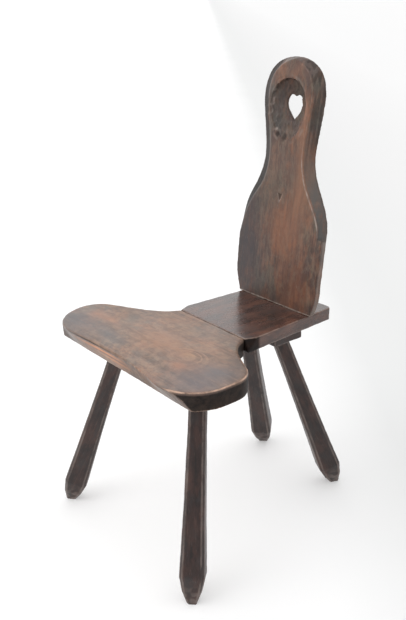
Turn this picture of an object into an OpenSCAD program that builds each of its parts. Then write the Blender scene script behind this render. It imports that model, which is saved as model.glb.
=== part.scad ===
// Milking stool with a back rest, four splayed legs and a seat of two boards.
// Millimetres. +Z up, the sitter faces -Y, the floor is z = 0, and the origin lies under
// the middle of the stool's footprint. The left lobe of the seat, on the side of -X, is sawn
// larger than the right one, the rear left leg's section is turned, and the heart and the field
// round it lie aside. All else is the same on both sides of the plank's middle.

/* [Seat] */
// Height of the seat's top above the floor
seat_h = 400; // [350:5:450]
// Thickness of the front board
board_t = 36; // [32:1:44]
// Thickness of the rear plank
plank_t = 26; // [22:1:32]
// Gap at the seam between the front board and the rear plank
seam_gap = 0.3; // [0.1:0.1:1]

/* [Front board outline] */
// Depth of the front board along its middle, from the seam to the front edge
board_d = 213; // [200:1:218]
// Distance from the middle of the seat to the centre of the left lobe's front curve
left_lobe_x = 152.5; // [144:0.5:162]
// Radius of the left lobe's front curve
left_lobe_r = 85.5; // [80:0.5:92]
// How far the left lobe swells forward of the middle of the front edge
left_swell = 7.5; // [5:0.5:12]
// Length of the straight side between the left lobe's front and rear curves
left_side = 1; // [0:0.5:6]
// Distance from the middle of the seat to the centre of the right lobe's front curve
right_lobe_x = 134.5; // [126:0.5:144]
// Radius of the right lobe's front curve
right_lobe_r = 78; // [74:0.5:84]
// How far the right lobe swells forward of the middle of the front edge
right_swell = 15.5; // [10:0.5:19]
// Length of the straight side between the right lobe's front and rear curves
right_side = 28; // [20:1:34]
// Radius of a lobe's rear curve
lobe_rear_r = 53.5; // [46:0.5:60]
// Angle at which the lobe's rear curve turns into the hollow shoulder
lobe_turn = 63; // [58:0.5:70]
// Width of the front board at the seam
neck_w = 187; // [176:1:200]
// Place of the front edge's straight lower arris ahead of the seam
bevel_foot = 202; // [188:1:208]
// Height of the narrow upright strip above the bevel of the front edge
edge_strip = 1.6; // [1:0.2:4]

/* [Rear plank] */
// Width of the plank at the seam
plank_front_w = 208; // [204:1:220]
// Width of the plank at its rear end
plank_rear_w = 184; // [172:1:196]
// Length of the plank behind the seam
plank_l = 234; // [224:1:250]
// Cut at the plank's two front corners, along the side
scoop_l = 28; // [16:1:36]
// Cut at the plank's two front corners, along the seam
scoop_w = 11; // [6:0.5:14]
// Clipped rear corners of the plank
rear_clip = 5; // [2:0.5:10]

/* [Tongue joint] */
// Length of the plank's tongue inside the front board
tongue_l = 60; // [40:1:70]
// Width of the tongue
tongue_w = 144; // [110:1:160]
// Thickness of the tongue
tongue_t = 12; // [8:0.5:14]
// Diameter of the pegs that lock the tongue
tongue_peg_d = 10; // [8:0.5:12]
// Distance between the two tongue pegs
tongue_peg_gap = 84; // [60:1:100]
// Wood left over the blind ends of the tongue pegs
peg_cover = 5; // [3:0.5:6]

/* [Batten under the plank] */
// Thickness of the batten
batten_t = 16; // [12:1:22]
// Width of the batten, front to back
batten_w = 72; // [66:1:72]
// Distance from the batten's rear edge to the rear end of the plank
batten_rear = 82; // [81:1:86]
// How far the batten's ends stay inside the plank's sides
batten_inset = 4; // [2:0.5:10]
// Diameter of the pegs that hold the batten
batten_peg_d = 8; // [6:0.5:10]
// How deep the batten pegs go into the plank
batten_peg_in = 17; // [10:1:18]
// Distance from the batten's edges to the centres of its pegs
batten_peg_edge = 15; // [12:1:16]

/* [Legs] */
// Width of a leg's square section at its head
leg_head_w = 31; // [28:0.5:36]
// Width of a leg's square section above its foot, where it is thickest
leg_foot_w = 46; // [40:0.5:52]
// Width of the flat tip that a foot stands on
leg_tip_w = 19; // [15:0.5:25]
// Length of the pointed foot below the thickest section
foot_l = 48; // [36:1:60]
// Length of the shoulder that leads from the round tenon to the square leg
leg_shoulder_l = 14; // [8:1:24]
// Chamfer on a leg's four long edges, as a share of its width
leg_chamfer = 0.13; // [0.08:0.01:0.2]
// How the legs swell towards the foot: 1 is a straight taper, more keeps them slim for longer
leg_flare = 1.5; // [1:0.1:2.2]
// Diameter of the round tenon at a leg's head
tenon_d = 24; // [20:0.5:26]
// Wood left over the blind end of a leg's tenon, measured on the leg's axis
tenon_cover = 9; // [8:0.5:11]

/* [Leg positions] */
// Front legs: sideways place of the axis where it enters the front board
front_head_x = 116; // [106:1:126]
// Front legs: place of the axis ahead of the seam where it enters the front board
front_head_y = 125.5; // [116:0.5:134]
// Front legs: sideways place of the foot on the floor
front_foot_x = 203; // [186:1:216]
// Front legs: place of the foot ahead of the seam
front_foot_y = 217; // [200:1:230]
// Rear legs: sideways place of the axis where it enters the batten
rear_head_x = 45.5; // [38:0.5:52]
// Rear legs: distance from the axis, where it enters the batten, to the rear end of the plank
rear_head_in = 103; // [100:0.5:110]
// Rear legs: sideways place of the foot on the floor
rear_foot_x = 110; // [95:1:125]
// Rear legs: how far behind the plank the foot stands
rear_foot_out = 16; // [1:1:31]
// Rear left leg: angle that its square section is turned by on its axis, seen from the right side
rear_left_turn = 12; // [0:1:20]

/* [Wedges in the leg tenons] */
// Depth of the wedge in the end of a tenon
wedge_l = 20; // [12:1:24]
// Thickness of the wedge at its thick end
wedge_t = 3.4; // [2.4:0.2:5]
// Thickness of the wedge at its thin end
wedge_tip = 1.2; // [0.8:0.2:2]

/* [Back rest] */
// Distance from the foot of the back rest's front face to the rear end of the plank
back_rear = 72; // [68:1:75]
// Lean of the back rest from the vertical
back_lean = 4.6; // [2:0.2:8]
// Thickness of the back rest
back_t = 14; // [13:0.5:17]
// Height of the back rest along its face
back_h = 474.5; // [462:0.5:500]
// Width of the back rest where it stands on the seat
back_base_w = 202; // [190:1:204]
// Greatest width of the back rest's lower part
back_low_w = 225; // [212:1:234]
// Height at which the lower part reaches its greatest width
back_low_s = 50; // [40:1:66]
// Height at which the shoulders begin to slope in to the waist
back_shoulder_s = 167; // [164:1:178]
// Width of the back rest's waist
back_waist_w = 131.5; // [122:0.5:142]
// Height of the waist
back_waist_s = 298; // [286:1:308]
// Width of the back rest's round head
back_head_w = 156.5; // [149:0.5:165]
// Height at which the head is widest
back_head_s = 403; // [395:1:409]

/* [Bevel of the back rest] */
// Width of the bevel on the front edges of the back rest
back_bevel_w = 24; // [16:0.5:27]
// Width of the same bevel at the top of the head
back_bevel_top = 4.5; // [2:0.5:8]
// Width of the same bevel where it stops above the seat
back_bevel_stop = 13; // [8:0.5:18]
// Thickness of the edge that the bevel leaves
back_edge_t = 3; // [2:0.5:6]
// Height at which the bevel stops above the seat
back_stop_s = 152; // [130:1:160]
// Length over which the bevel fades out below that height on the left side
back_fade = 36; // [16:1:50]

/* [Heart and carved field] */
// Width of the heart
heart_w = 42; // [36:0.5:46]
// Height of the heart
heart_h = 47; // [40:0.5:52]
// Height of the heart's tip above the seat, along the face
heart_s = 359.5; // [355:0.5:364]
// Sideways place of the heart in the hand-carved field
heart_x = 8; // [0:0.5:12]
// Width of the carved field
field_w = 94; // [88:1:98]
// Height of the carved field's lower tip
field_low_s = 320; // [314:1:326]
// Height of the carved field's upper edge
field_top_s = 436; // [430:0.5:440]
// Sideways place of the carved field
field_x = -4.5; // [-8:0.5:4]
// Depth of the carved field
field_depth = 7.5; // [4:0.5:9]
// How far the field's sides slope inwards down to its floor
field_slope = 9; // [4:0.5:12]

/* [Tenons and keys of the back rest] */
// Width of each of the two tenons
back_tenon_w = 44; // [34:1:50]
// Thickness of the two tenons
back_tenon_t = 10; // [8:0.5:10.5]
// Distance between the centres of the two tenons
back_tenon_gap = 96; // [90:1:104]
// How far the tenons stand out below the plank
back_tenon_out = 21; // [18:1:24]
// Width of a key
key_w = 11; // [8:0.5:14]
// Height of a key at its thin end
key_thin = 8; // [6:0.5:9]
// Height of a key at its thick end
key_thick = 11; // [9.5:0.5:13]
// Length of a key
key_l = 38; // [34:1:44]
// Distance from the batten's rear edge to a key's thin front end
key_gap = 2; // [1:0.5:4]

/* [Fits] */
// Clearance on each side of a tenon, tongue, peg, wedge or key
fit = 0.15; // [0.05:0.05:0.3]

/* [Hidden] */

// Past-the-face allowance for cuts
over = 2;
// Steps on a curve between two named points, and on an arc
curve_n = 12;
arc_n = 14;
plank_bottom = seat_h - plank_t;
batten_bottom = plank_bottom - batten_t;
board_bottom = seat_h - board_t;
plank_slope = (plank_front_w - plank_rear_w) / 2 / plank_l;
// The batten, the back rest and its keys keep their places from the plank's rear end
batten_end = plank_l - batten_rear;
batten_y = batten_end - batten_w;
back_y = plank_l - back_rear;
key_y = batten_end + key_gap;

wood_seat = [0.42, 0.36, 0.32];
wood_back = [0.36, 0.26, 0.22];
wood_leg = [0.27, 0.22, 0.19];
wood_peg = [0.45, 0.35, 0.26];

// Plain vector helpers
function turn(v) = atan2(v[1], v[0]);
function half_width_at(y) = plank_front_w / 2 - plank_slope * y;

// A leg is given by its head [x, y, z] and its foot [x, y, 0], both seen from the seam
front_head = [front_head_x, -front_head_y, board_bottom];
front_foot = [front_foot_x, -front_foot_y, 0];
rear_head = [rear_head_x, plank_l - rear_head_in, batten_bottom];
rear_foot = [rear_foot_x, plank_l + rear_foot_out, 0];
function leg_len(head, foot) = norm(head - foot);
function leg_tilt(head, foot) = acos(head[2] / leg_len(head, foot));
function leg_turn(head, foot) = turn([foot[0] - head[0], foot[1] - head[1]]);

// A leg's cross section: a square of width w with its corners chamfered, at height z
function octagon(w, z) = let (a = w / 2, b = w / 2 - w * leg_chamfer)
  [[a, -b, z], [a, b, z], [b, a, z], [-b, a, z], [-a, b, z], [-a, -b, z], [-b, -a, z], [b, -a, z]];
// The foot narrows in two steps to its flat tip and runs on below the floor, where it is cut level
foot_below = 8;
foot_mid = foot_l * 0.44;
foot_mid_w = leg_tip_w + (leg_foot_w - leg_tip_w) * 0.6;
foot_taper = (foot_mid_w - leg_tip_w) / foot_mid;
function foot_ring(len) = octagon(leg_tip_w - foot_taper * foot_below, -len - foot_below);
function mid_ring(len) = octagon(foot_mid_w, foot_mid - len);
function thick_ring(len) = octagon(leg_foot_w, foot_l - len);

// A point of a leg's own frame, seen from the seam
function leg_point(p, head, foot) =
  let (t = leg_tilt(head, foot), a = leg_turn(head, foot), x = p[0] * cos(t) - p[2] * sin(t))
  head + [x * cos(a) - p[1] * sin(a), x * sin(a) + p[1] * cos(a), p[0] * sin(t) + p[2] * cos(t)];
function turned(p, a) = [p[0] * cos(a) + p[1] * sin(a), p[1] * cos(a) - p[0] * sin(a), p[2]];
// How far a leg reaches along X (axis 0) or Y (axis 1), at its thickest section, above its tip
// or on the floor, when its section is turned by an angle
function leg_reach(head, foot, axis = 1, angle = 0) = let (len = leg_len(head, foot))
  max([for (i = [0:7])
    let (a = leg_point(turned(thick_ring(len)[i], angle), head, foot))
    let (b = leg_point(turned(mid_ring(len)[i], angle), head, foot))
    let (c = leg_point(turned(foot_ring(len)[i], angle), head, foot), t = b[2] / (b[2] - c[2]))
    max(abs(a[axis]), abs(b[axis]), abs(b[axis] + (c[axis] - b[axis]) * t))]);
// The origin lies midway between the front legs' reach and the rear legs' reach
rear_legs_reach = max(leg_reach(rear_head, rear_foot), leg_reach(rear_head, rear_foot, 1, rear_left_turn));
seam_y = (leg_reach(front_head, front_foot) - rear_legs_reach) / 2;
// Place of the plank's middle, between the stool's reaches to the left and to the right
legs_reach = max(leg_reach(front_head, front_foot, 0), leg_reach(rear_head, rear_foot, 0),
  leg_reach(rear_head, rear_foot, 0, rear_left_turn));
middle_x = (max(left_lobe_x + left_lobe_r, legs_reach) - max(right_lobe_x + right_lobe_r, legs_reach)) / 2;
module in_frame() {
  translate([middle_x, seam_y, 0]) children();
}

// Points on an arc about c, and on a curve with the two end points and two handles
function arc(c, r, a0, a1, n = arc_n) =
  [for (i = [0:n]) c + r * [cos(a0 + (a1 - a0) * i / n), sin(a0 + (a1 - a0) * i / n)]];
function bend(a, b, c, d, n = curve_n) = [for (i = [0:n]) let (t = i / n, u = 1 - t)
  u * u * u * a + 3 * u * u * t * b + 3 * u * t * t * c + t * t * t * d];

// Solid between rings of points, all with the same count. The ends are closed by strips that run
// straight across, from a ring's first half to its second half
module loft(rings) {
  n = len(rings[0]);
  m = len(rings);
  points = [for (ring = rings) for (p = ring) p];
  sides = [for (j = [0:m - 2]) for (i = [0:n - 1]) let (k = (i + 1) % n)
    each [[j * n + i, (j + 1) * n + k, j * n + k], [j * n + i, (j + 1) * n + i, (j + 1) * n + k]]];
  strips = [for (i = [0:ceil(n / 2) - 2])
    i + 1 < n - 2 - i ? [i, i + 1, n - 2 - i, n - 1 - i] : [i, i + 1, n - 1 - i]];
  far_strips = [for (s = strips) [for (k = [len(s) - 1:-1:0]) (m - 1) * n + s[k]]];
  polyhedron(points, concat(sides, strips, far_strips), convexity = 8);
}

// Front board: two lobes, hollow shoulders that run into the plank, and a hollow front edge.
// Each half has its own lobe, and its own front arc that runs into it
function front_radius(x, r, swell) = let (gap = r - swell) (x * x + gap * gap - r * r) / (2 * swell);
left_front_r = front_radius(left_lobe_x, left_lobe_r, left_swell);
right_front_r = front_radius(right_lobe_x, right_lobe_r, right_swell);
shoulder_handle = 45;
neck_handle = [13, -42];
function board_half(x, r, swell, side, front_r) =
  let (lobe_y = board_d + swell - r, turn_in = atan2(x, front_r + r - swell),
    rear_c = [x + r - lobe_rear_r, side - lobe_y],
    shoulder = rear_c + lobe_rear_r * [cos(lobe_turn), sin(lobe_turn)],
    run = [-sin(lobe_turn), cos(lobe_turn)])
  concat(
    arc([0, -board_d - front_r], front_r, 90, 90 - turn_in),
    arc([x, -lobe_y], r, -90 - turn_in, -1),
    arc(rear_c, lobe_rear_r, 0, lobe_turn - 1),
    bend(shoulder, shoulder + shoulder_handle * run, [neck_w / 2, 0] + neck_handle, [neck_w / 2, 0]));
right_half = board_half(right_lobe_x, right_lobe_r, right_swell, right_side, right_front_r);
left_half = board_half(left_lobe_x, left_lobe_r, left_swell, left_side, left_front_r);
board_outline = concat([for (i = [1:len(right_half) - 1]) right_half[i]],
  [for (i = [len(left_half) - 1:-1:1]) [-left_half[i][0], left_half[i][1]]], [right_half[0]]);
board_reach = max(left_lobe_x + left_lobe_r, right_lobe_x + right_lobe_r);

// Space that a tongue fills, wider by g on every side
tongue_z = plank_bottom + (plank_t - tongue_t) / 2;
module tongue(g = 0) {
  translate([-tongue_w / 2 - g, -tongue_l - g, tongue_z - g])
    cube([tongue_w + 2 * g, tongue_l + 2 * g + seam_gap + over, tongue_t + 2 * g]);
}

module at_tongue_pegs() {
  for (s = [-1, 1])
    translate([s * tongue_peg_gap / 2, -tongue_l / 2, board_bottom]) children();
}

// A peg, or its bore: wider by g and longer below by out
module tongue_peg(g = 0, out = 0) {
  translate([0, 0, -out])
    cylinder(h = out + board_t - peg_cover + g, d = tongue_peg_d + 2 * g, $fn = 48);
}

// Under the front edge the board is bevelled back to a straight lower arris. The bevel starts
// below a narrow upright strip, so that the board looks thin from the front
module front_bevel() {
  reach = board_reach + over;
  start = board_t - edge_strip;
  across = [for (i = [-20:20]) -reach * i / 20];
  loft([for (h = [-over, board_t + over])
    concat([for (x = across) [x, -bevel_foot + (front_arc(x) + bevel_foot) * h / start, board_bottom + h]],
      [for (x = across) [-x, -board_d - board_reach, board_bottom + h]])]);
}
// The front edge as the bevel follows it: the hollow arc, the lobe's front curve a little past its
// middle, and then straight on
function front_arc(x) = x < 0
  ? edge_at(-x, left_lobe_x, left_lobe_r, left_swell, left_front_r)
  : edge_at(x, right_lobe_x, right_lobe_r, right_swell, right_front_r);
function edge_at(x, lobe_x, r, swell, front_r) =
  let (lobe_y = board_d + swell - r, last = r / 5, drop = sqrt(r * r - last * last))
  x < lobe_x * front_r / (front_r + r) ? -board_d - front_r + sqrt(front_r * front_r - x * x)
  : x < lobe_x + last ? -lobe_y - sqrt(r * r - (x - lobe_x) * (x - lobe_x))
  : -lobe_y - drop + (x - lobe_x - last) * last / drop;

// A leg's own frame: +Z up its axis from the point where it enters the seat, +X outwards
module at_leg(head, foot) {
  translate(head)
    rotate([0, -leg_tilt(head, foot), leg_turn(head, foot)])
      children();
}

// Length of a tenon on its axis, from the underside up to the wood left over its end
function tenon_len(head, foot) = (seat_h - tenon_cover - head[2]) / cos(leg_tilt(head, foot));
function neck_len(head, foot) = tenon_d / 2 * tan(leg_tilt(head, foot)) + 0.5;

module tenon_bore(head, foot) {
  at_leg(head, foot)
    translate([0, 0, -tenon_d])
      cylinder(h = tenon_d + tenon_len(head, foot) + fit, d = tenon_d + 2 * fit, $fn = 64);
}

module leg_blade(head, foot) {
  len = leg_len(head, foot);
  neck = neck_len(head, foot);
  top = neck + leg_shoulder_l;
  low = len - foot_l;
  neck_w = tenon_d * 0.92;
  rings = concat([foot_ring(len), mid_ring(len)],
    [for (u = [1, 0.75, 0.5, 0.25, 0])
      octagon(leg_head_w + (leg_foot_w - leg_head_w) * pow(u, leg_flare), -top - (low - top) * u)],
    [[for (p = octagon(neck_w, -neck)) let (a = turn(p), r = neck_w / 2) [r * cos(a), r * sin(a), p[2]]]]);
  loft(rings);
}

// Profile of a tenon's wedge, wider by g on both flanks
module wedge_shape(head, foot, g = 0) {
  top = tenon_len(head, foot);
  translate([0, tenon_d, 0])
    rotate([90, 0, 0])
      linear_extrude(2 * tenon_d)
        polygon([[-wedge_tip / 2 - g, top - wedge_l - g], [wedge_tip / 2 + g, top - wedge_l - g],
          [wedge_t / 2 + g, top + g], [-wedge_t / 2 - g, top + g]]);
}

module leg(head, foot, angle = 0) {
  // The round tenon starts inside the shoulder
  inside = neck_len(head, foot) + leg_shoulder_l / 2;
  difference() {
    at_leg(head, foot)
      difference() {
        union() {
          rotate([0, 0, -angle]) leg_blade(head, foot);
          translate([0, 0, -inside]) cylinder(h = inside + tenon_len(head, foot), d = tenon_d, $fn = 64);
        }
        wedge_shape(head, foot, fit);
      }
    translate([foot[0] - 2 * leg_foot_w, foot[1] - 2 * leg_foot_w, -leg_foot_w])
      cube([4 * leg_foot_w, 4 * leg_foot_w, leg_foot_w]);
  }
}

module leg_wedge(head, foot) {
  at_leg(head, foot)
    intersection() {
      wedge_shape(head, foot);
      cylinder(h = tenon_len(head, foot), d = tenon_d, $fn = 64);
    }
}

module both_sides() {
  children();
  mirror([1, 0, 0]) children();
}

// The back rest's own frame: x sideways, y through its thickness, z up its front face
module at_back() {
  translate([0, back_y, seat_h]) rotate([-back_lean, 0, 0]) children();
}

// Half outline of the back rest from its base to the top of its head, in two runs: below the
// bevel's stop and above it
head_rise = back_h - back_head_s;
back_base = [back_base_w / 2, 0];
back_low = [back_low_w / 2, back_low_s];
back_stop = [back_low_w / 2, back_stop_s];
back_shoulder = [back_low_w / 2, back_shoulder_s];
back_waist = [back_waist_w / 2, back_waist_s];
back_head = [back_head_w / 2, back_head_s];
stop_step = 0.6;
function after_first(list) = [for (i = [1:len(list) - 1]) list[i]];
back_lower = bend(back_base, back_base + [5, back_low_s * 0.4],
  back_low - [0, back_low_s * 0.35], back_low, 5);
back_upper = concat([back_stop + [0, stop_step], back_shoulder],
  after_first(bend(back_shoulder, back_shoulder + [-4, 48], back_waist - [0, 55], back_waist, 12)),
  after_first(bend(back_waist, back_waist + [0, 33], back_head - [0, 39], back_head, 7)),
  after_first(bend(back_head, back_head + [0, head_rise * 0.65],
    [back_head_w * 0.3, back_h], [0, back_h], 12)));
fade_start = [back_stop - [0, back_fade]];
back_right = concat(back_lower, [back_stop], back_upper);
back_left = concat(back_lower, fade_start, back_upper);

// The bevel is narrow at its stop, full at the waist and up to the head, less at the top
function bevel_at(p) =
  p[1] < back_waist_s ? back_bevel_stop + (back_bevel_w - back_bevel_stop)
    * min(1, (p[1] - back_stop_s) / (back_waist_s - back_stop_s) * 1.5)
  : p[1] < back_head_s ? back_bevel_w
  : back_bevel_top + (back_bevel_w - back_bevel_top) * abs(p[0]) / back_head_w * 2;
function inward(list, i) = let (a = list[max(0, i - 1)], b = list[min(len(list) - 1, i + 1)])
  i == len(list) - 1 ? [0, -1] : i <= 1 ? [-1, 0] : [a[1] - b[1], b[0] - a[0]] / norm(b - a);
back_bevelled = [for (i = [0:len(back_upper) - 1])
  back_upper[i] + bevel_at(back_upper[i]) * inward(back_upper, i)];
face_right = concat(back_lower, [back_stop], back_bevelled);
face_left = concat(back_lower, fade_start, [back_bevelled[0] + [back_bevel_stop / 3, 0]],
  after_first(back_bevelled));
function ring_of(right, left, depth) = let (n = len(right))
  concat([for (i = [0:n - 1]) [right[i][0], depth, right[i][1]]],
    [for (i = [n - 2:-1:0]) [-left[i][0], depth, left[i][1]]]);

// The board leans, so its base is slanted to stand level on the seat
function on_seat(half, depth) = concat([[half[0][0], depth * tan(back_lean)]], after_first(half));

module back_blade() {
  edge = back_t - back_edge_t;
  loft([ring_of(on_seat(back_right, back_t), on_seat(back_left, back_t), back_t),
    ring_of(on_seat(back_right, edge), on_seat(back_left, edge), edge),
    ring_of(on_seat(face_right, 0), on_seat(face_left, 0), 0)]);
}

// The heart hole, cut square to the face
module heart_cut() {
  wide = [heart_w / 2, heart_h * 0.7];
  half = concat(
    bend([0, 0], [heart_w * 0.2, heart_h * 0.25], [heart_w * 0.53, heart_h * 0.42], wide, 8),
    after_first(bend(wide, [heart_w * 0.48, heart_h * 1.04],
      [heart_w * 0.14, heart_h * 1.07], [0, heart_h * 0.94], 8)));
  translate([heart_x, back_t + over, heart_s])
    rotate([90, 0, 0])
      linear_extrude(back_t + 2 * over)
        polygon(concat(half, [for (i = [len(half) - 2:-1:1]) [-half[i][0], half[i][1]]]));
}

// The sunk field round the heart, with steep walls at the top and sloping sides
function field_half(w, low, top) = let (mid = low + (top - low) * 0.56)
  concat(bend([0, low], [w * 0.22, low], [w / 2, low + (mid - low) * 0.5], [w / 2, mid], 8),
    after_first(bend([w / 2, mid], [w / 2, mid + (top - mid) * 0.6], [w * 0.29, top], [0, top], 8)));
module carved_field() {
  rim = field_half(field_w, field_low_s, field_top_s);
  bed = field_half(field_w - 2 * field_slope, field_low_s + 2 * field_slope,
    field_top_s - field_slope / 2);
  grow = over / field_depth;
  mouth = [for (i = [0:len(rim) - 1]) rim[i] + (rim[i] - bed[i]) * grow];
  translate([field_x, 0, 0])
    loft([field_ring(bed, field_depth), field_ring(mouth, -over)]);
}
function field_ring(half, depth) = let (n = len(half))
  concat([for (i = [0:n - 1]) [half[i][0], depth, half[i][1]]],
    [for (i = [n - 2:-1:1]) [-half[i][0], depth, half[i][1]]]);

// Tenons of the back rest, wider by g on every side
module back_tenons(g = 0) {
  w = back_tenon_w + 2 * g;
  t = back_tenon_t + 2 * g;
  down = plank_t + back_tenon_out;
  at_back()
    for (s = [-1, 1])
      translate([s * back_tenon_gap / 2 - w / 2, (back_t - t) / 2, -down])
        cube([w, t, down + 2 * over]);
}

// A key lies under the plank, through a tenon, with its flat side up
module key_shape(g = 0) {
  translate([back_tenon_gap / 2 - key_w / 2 - g, 0, plank_bottom - fit])
    rotate([90, 0, 90])
      linear_extrude(key_w + 2 * g)
        polygon([[key_y, g], [key_y + key_l, g], [key_y + key_l, -key_thick - g], [key_y, -key_thin - g]]);
}

module plank_plan() {
  front = plank_front_w / 2;
  rear = plank_rear_w / 2;
  polygon([[-front, seam_gap], [front, seam_gap], [rear + plank_slope * rear_clip, plank_l - rear_clip],
    [rear - rear_clip, plank_l], [-rear + rear_clip, plank_l],
    [-rear - plank_slope * rear_clip, plank_l - rear_clip]]);
}

// Slanting cut at a front corner of the plank, wide at the top and nothing at the bottom
module corner_scoop() {
  front = plank_front_w / 2;
  up = 1 + over / plank_t;
  down = 0.1;
  loft([[[front - scoop_w * down, seam_gap - over, plank_bottom + plank_t * down],
      [front + over, seam_gap - over, plank_bottom + plank_t * down],
      [front + over, scoop_l * down, plank_bottom + plank_t * down]],
    [[front - scoop_w * up - over * scoop_w / scoop_l, seam_gap - over, plank_bottom + plank_t * up],
      [front + over, seam_gap - over, plank_bottom + plank_t * up],
      [front + over, scoop_l * up + over * scoop_l / scoop_w, plank_bottom + plank_t * up]]]);
}

module seat_front_board() {
  color(wood_seat)
    in_frame()
      difference() {
        translate([0, 0, board_bottom]) linear_extrude(board_t) polygon(board_outline);
        front_bevel();
        tongue(fit);
        at_tongue_pegs() tongue_peg(fit, over);
        both_sides() tenon_bore(front_head, front_foot);
      }
}

module seat_rear_plank() {
  color(wood_seat)
    in_frame()
      difference() {
        union() {
          translate([0, 0, plank_bottom]) linear_extrude(plank_t) plank_plan();
          tongue();
        }
        both_sides() corner_scoop();
        at_tongue_pegs() tongue_peg(fit);
        both_sides() tenon_bore(rear_head, rear_foot);
        at_batten_pegs() batten_peg(fit);
        back_tenons(fit);
      }
}

module tongue_pegs() {
  color(wood_peg) in_frame() at_tongue_pegs() tongue_peg();
}

// Batten pegs stand near the batten's corners
batten_half = half_width_at(batten_y + batten_w) - batten_inset;
module at_batten_pegs() {
  for (sx = [-1, 1], y = [batten_y + batten_peg_edge, batten_y + batten_w - batten_peg_edge])
    translate([sx * (batten_half - batten_peg_edge), y, batten_bottom]) children();
}
module batten_peg(g = 0, out = 0) {
  translate([0, 0, -out])
    cylinder(h = out + batten_t + batten_peg_in + g, d = batten_peg_d + 2 * g, $fn = 40);
}

module leg_batten() {
  color(wood_leg)
    in_frame()
      difference() {
        translate([-batten_half, batten_y, batten_bottom]) cube([2 * batten_half, batten_w, batten_t]);
        both_sides() tenon_bore(rear_head, rear_foot);
        at_batten_pegs() batten_peg(fit, over);
      }
}

module batten_pegs() {
  color(wood_peg) in_frame() at_batten_pegs() batten_peg();
}

module leg_front_right() {
  color(wood_leg) in_frame() leg(front_head, front_foot);
}

module leg_front_left() {
  color(wood_leg) in_frame() mirror([1, 0, 0]) leg(front_head, front_foot);
}

module leg_rear_right() {
  color(wood_leg) in_frame() leg(rear_head, rear_foot);
}

module leg_rear_left() {
  color(wood_leg) in_frame() mirror([1, 0, 0]) leg(rear_head, rear_foot, rear_left_turn);
}

module front_leg_wedges() {
  color(wood_peg) in_frame() both_sides() leg_wedge(front_head, front_foot);
}

module rear_leg_wedges() {
  color(wood_peg) in_frame() both_sides() leg_wedge(rear_head, rear_foot);
}

module back_splat() {
  color(wood_back)
    in_frame()
      difference() {
        union() {
          at_back() back_blade();
          back_tenons();
        }
        at_back() heart_cut();
        at_back() carved_field();
        both_sides() key_shape(fit);
      }
}

module splat_key_right() {
  color(wood_peg) in_frame() key_shape();
}

module splat_key_left() {
  color(wood_peg) in_frame() mirror([1, 0, 0]) key_shape();
}

seat_front_board();
seat_rear_plank();
tongue_pegs();
leg_batten();
batten_pegs();
leg_front_left();
leg_front_right();
leg_rear_left();
leg_rear_right();
front_leg_wedges();
rear_leg_wedges();
back_splat();
splat_key_left();
splat_key_right();
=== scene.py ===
"""Looks of the milking stool: worn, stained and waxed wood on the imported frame, on a pale studio floor."""

import math

import bmesh
import bpy
import numpy as np
from mathutils import Matrix, Vector, kdtree


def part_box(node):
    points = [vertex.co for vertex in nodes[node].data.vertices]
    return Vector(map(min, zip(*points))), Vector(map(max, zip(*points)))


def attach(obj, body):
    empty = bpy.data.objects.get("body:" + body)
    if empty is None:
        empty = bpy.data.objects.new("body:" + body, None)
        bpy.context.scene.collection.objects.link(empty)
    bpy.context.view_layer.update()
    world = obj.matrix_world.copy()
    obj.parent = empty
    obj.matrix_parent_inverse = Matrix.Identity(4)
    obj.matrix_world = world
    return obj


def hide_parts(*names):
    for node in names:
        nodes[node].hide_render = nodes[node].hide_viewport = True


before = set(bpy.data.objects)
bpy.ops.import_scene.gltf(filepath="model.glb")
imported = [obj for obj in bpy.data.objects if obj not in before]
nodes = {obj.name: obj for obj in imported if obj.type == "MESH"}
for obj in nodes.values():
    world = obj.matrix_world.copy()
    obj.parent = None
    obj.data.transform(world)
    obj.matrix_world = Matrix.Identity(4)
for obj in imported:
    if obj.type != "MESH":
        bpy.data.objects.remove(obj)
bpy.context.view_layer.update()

MM = 0.001
seat_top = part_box("seat_front_board")[1].z
seam_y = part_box("seat_front_board")[1].y
middle_x = (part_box("seat_rear_plank")[0].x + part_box("seat_rear_plank")[1].x) / 2


# Camera, at the place that the photograph was taken from.

CAMERA_PLACE = Vector((1.0834 + middle_x, -0.9190, 1.0045))
CAMERA_YAW = math.radians(50.792)
CAMERA_PITCH = math.radians(22.228)
CAMERA_ROLL = math.radians(-0.675)
CAMERA_LENS = 47.05
CAMERA_SENSOR = 36.0
CAMERA_NEAR, CAMERA_FAR = 0.05, 200.0


def add_camera():
    ahead = Vector((-math.sin(CAMERA_YAW) * math.cos(CAMERA_PITCH),
                    math.cos(CAMERA_YAW) * math.cos(CAMERA_PITCH),
                    -math.sin(CAMERA_PITCH)))
    level = Vector((math.cos(CAMERA_YAW), math.sin(CAMERA_YAW), 0.0))
    upward = level.cross(ahead)
    right = math.cos(CAMERA_ROLL) * level + math.sin(CAMERA_ROLL) * upward
    up = math.cos(CAMERA_ROLL) * upward - math.sin(CAMERA_ROLL) * level
    data = bpy.data.cameras.new("camera")
    data.lens = CAMERA_LENS
    data.sensor_width = CAMERA_SENSOR
    data.clip_start = CAMERA_NEAR
    data.clip_end = CAMERA_FAR
    camera = bpy.data.objects.new("camera", data)
    turn = Matrix((right, up, -ahead)).transposed().to_4x4()
    camera.matrix_world = Matrix.Translation(CAMERA_PLACE) @ turn
    bpy.context.scene.collection.objects.link(camera)
    bpy.context.scene.camera = camera


# Fields and mesh tools. Points are arrays of rows x, y, z in metres.

# Gouge cuts: how far each strays from its place in the pattern, and its reach squared, both in cut sizes.
CUT_STRAY = 0.22
CUT_REACH = 0.45

# Vertices of a CAD solid that lie nearer than this are one.
WELD = 0.01 * MM


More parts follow.
